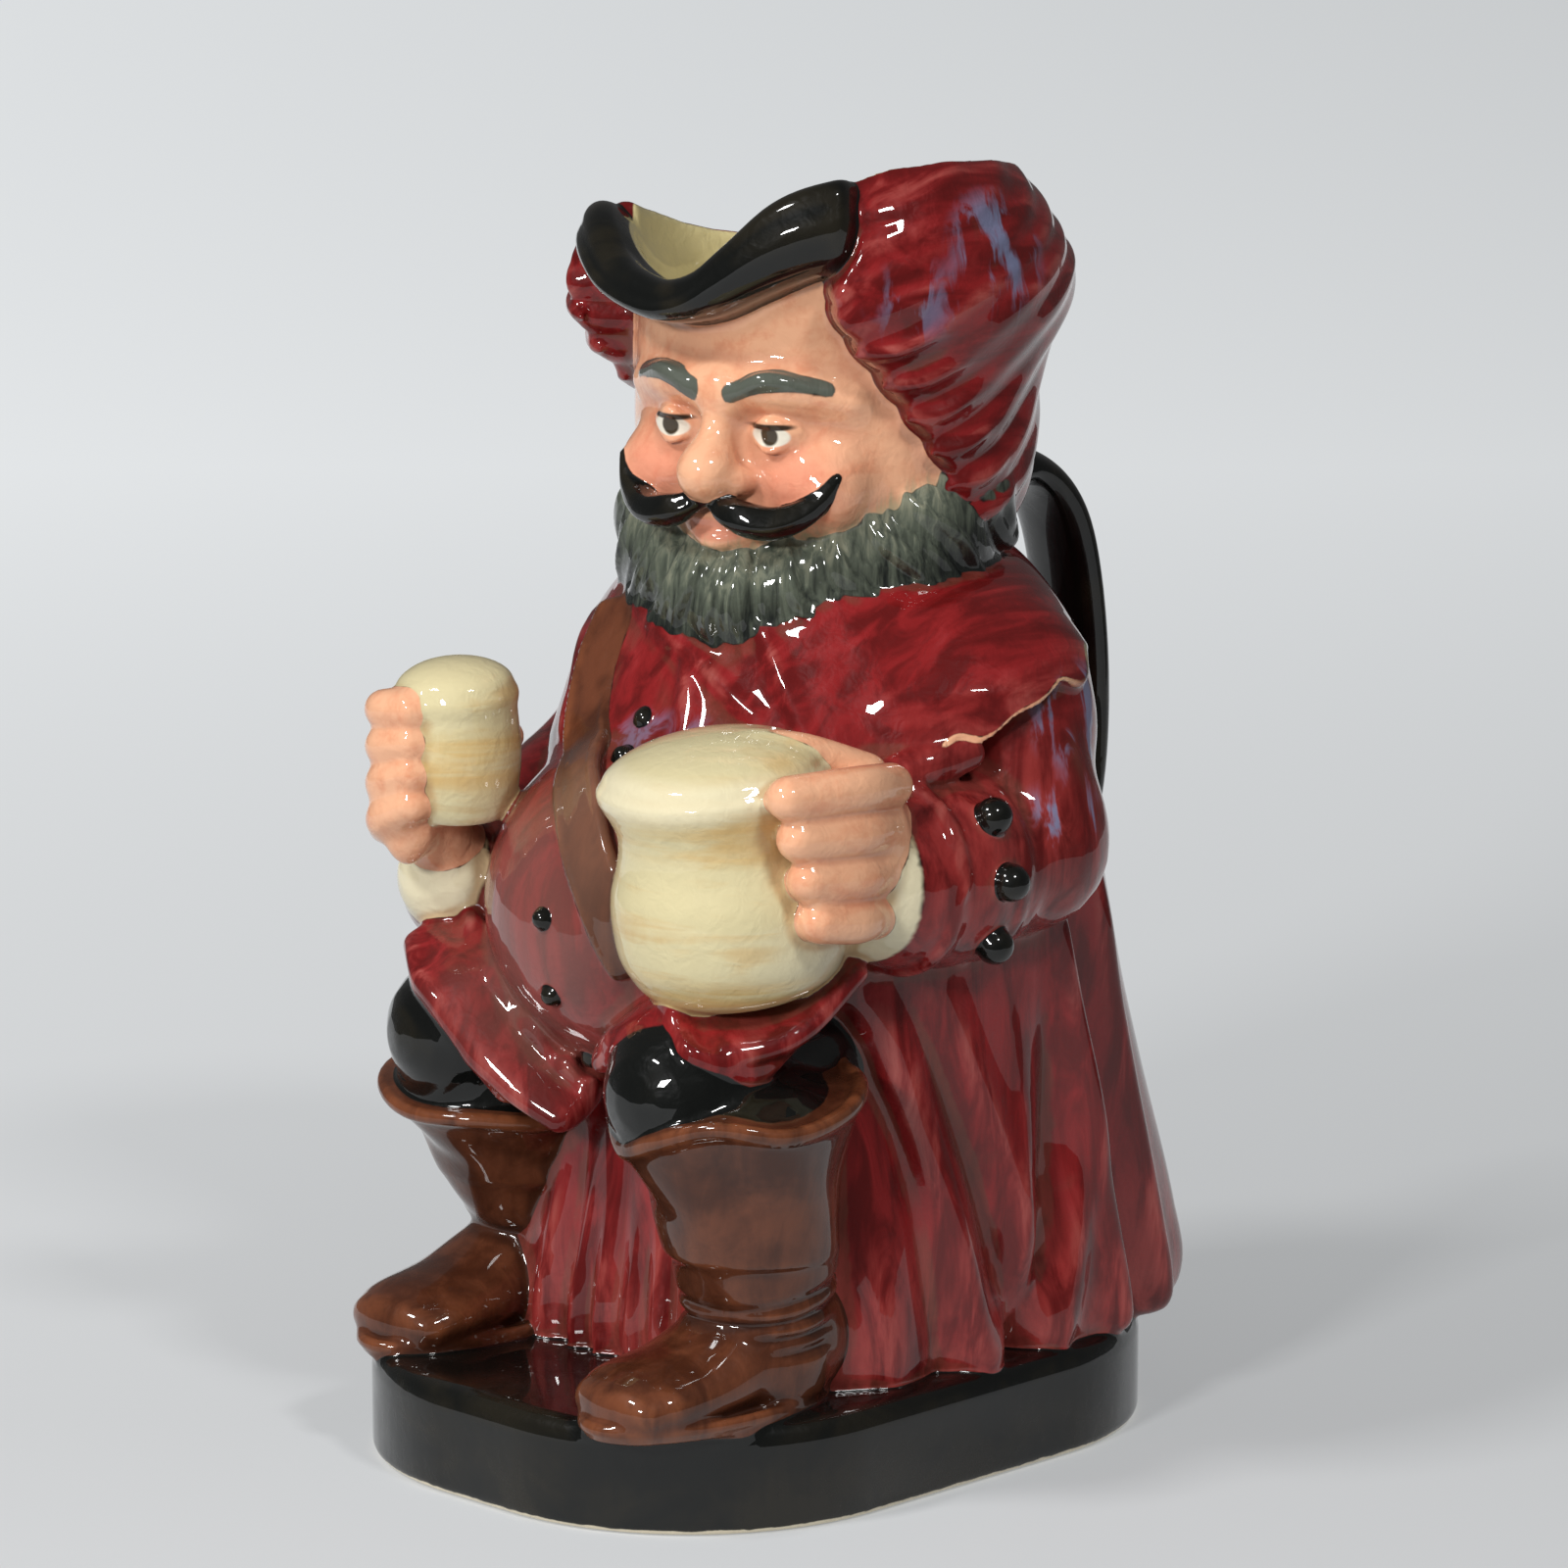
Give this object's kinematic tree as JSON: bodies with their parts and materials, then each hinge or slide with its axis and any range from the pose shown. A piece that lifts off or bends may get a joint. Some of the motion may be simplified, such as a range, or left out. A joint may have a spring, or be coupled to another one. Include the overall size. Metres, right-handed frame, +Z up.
{
  "type": "toby jug",
  "caption": "Glazed earthenware toby jug: a stout seated drinker with a jug in each hand, hollow through a waved hat rim, with a strap handle behind and a black plinth below.",
  "frame": {"origin": "middle of the part's box, on the surface that it stands on", "axes": "+Z up, the figure faces -Y and its left hand is on +X"},
  "size_m": [0.1202, 0.1442, 0.2156],
  "materials": {
    "glazed_earthenware": "hand-painted underglaze colours under a clear gloss glaze"
  },
  "bodies": {
    "root": {"toby_jug": "glazed_earthenware"}
  },
  "joints": []
}
